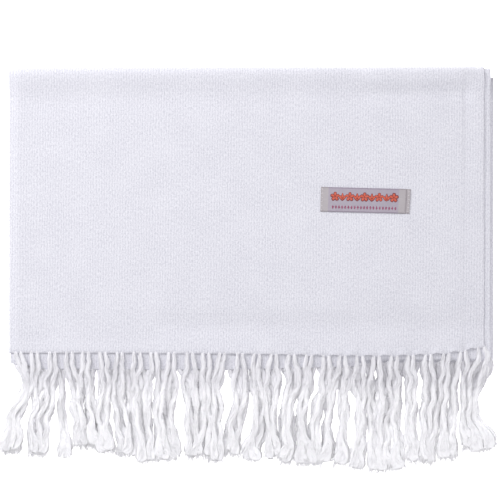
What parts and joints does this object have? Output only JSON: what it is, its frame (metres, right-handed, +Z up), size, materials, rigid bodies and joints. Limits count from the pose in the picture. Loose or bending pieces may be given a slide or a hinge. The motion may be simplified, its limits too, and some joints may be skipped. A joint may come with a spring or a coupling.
{
  "type": "folded fringed shawl",
  "caption": "White fringed shawl folded into a flat oblong, its tasselled hems stacked at the front and a small woven label on top.",
  "frame": {"origin": "on the flat underside, under the middle of the folded cloth without its fringe", "axes": "+X from the left fold to the selvedges, +Y from the fringes to the top fold, +Z up from the surface it lies on"},
  "size_m": [0.3644, 0.3038, 0.0168],
  "materials": {
    "upper_layer": "fine ribbed silk weave, soft sheen",
    "second_layer": "fine ribbed silk weave, soft sheen",
    "hidden_layers": "fine ribbed silk weave, soft sheen",
    "label": "satin woven tape",
    "upper_fringe": "twisted yarn",
    "second_fringe": "twisted yarn",
    "third_fringe": "twisted yarn",
    "fourth_fringe": "twisted yarn"
  },
  "bodies": {
    "root": {"upper_layer": "upper_layer", "second_layer": "second_layer", "hidden_layers": "hidden_layers", "label": "label", "upper_fringe": "upper_fringe", "second_fringe": "second_fringe", "third_fringe": "third_fringe", "fourth_fringe": "fourth_fringe"}
  },
  "joints": []
}
